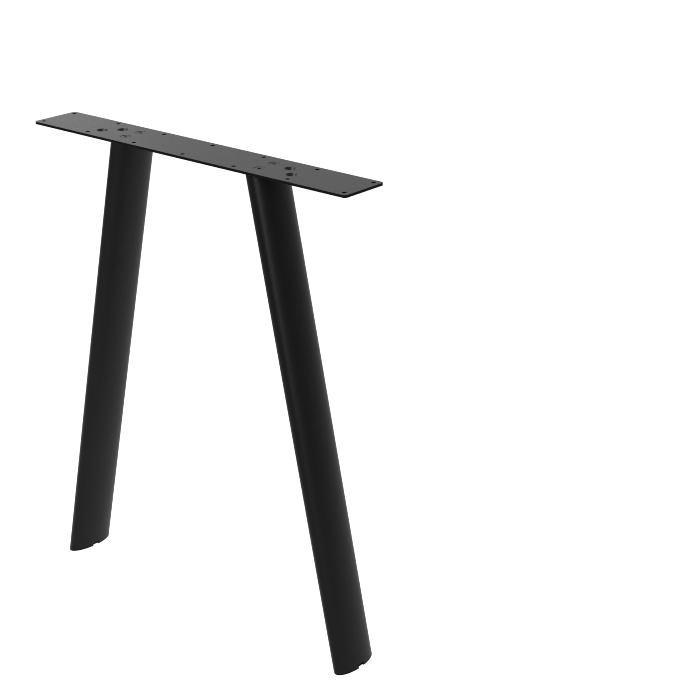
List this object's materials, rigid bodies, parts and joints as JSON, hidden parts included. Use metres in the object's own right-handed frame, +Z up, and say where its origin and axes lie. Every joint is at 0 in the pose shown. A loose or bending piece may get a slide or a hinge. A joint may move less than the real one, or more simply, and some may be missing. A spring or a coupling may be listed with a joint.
{
  "type": "trestle table leg",
  "caption": "A-shaped table leg: flat steel top plate with screw holes on two splayed tubes of elliptical section, with plastic foot inserts.",
  "frame": {"origin": "on the floor, below the middle of the top plate", "axes": "+X along the top plate towards the right tube, +Y across the plate, +Z up from the floor to the table top"},
  "size_m": [0.6002, 0.08, 0.72],
  "materials": {
    "powder_coat": "fine matt black powder coat on steel",
    "black_screw": "black oxide with a light oil sheen",
    "foot_plastic": "moulded black plastic",
    "head_steel": "thinly coated steel inside the tube",
    "weld_steel": "ground weld metal under the coat",
    "nut_steel": "bright zinc"
  },
  "bodies": {
    "root": {"top_plate": "powder_coat", "left_leg_tube": "powder_coat", "left_foot_insert": "foot_plastic", "left_head_plate": "head_steel", "left_head_weld": "weld_steel", "left_front_screw": "black_screw", "left_front_weld_nut": "nut_steel", "left_back_screw": "black_screw", "left_back_weld_nut": "nut_steel", "right_leg_tube": "powder_coat", "right_foot_insert": "foot_plastic", "right_head_plate": "head_steel", "right_head_weld": "weld_steel", "right_front_screw": "black_screw", "right_front_weld_nut": "nut_steel", "right_back_screw": "black_screw", "right_back_weld_nut": "nut_steel"}
  },
  "joints": []
}
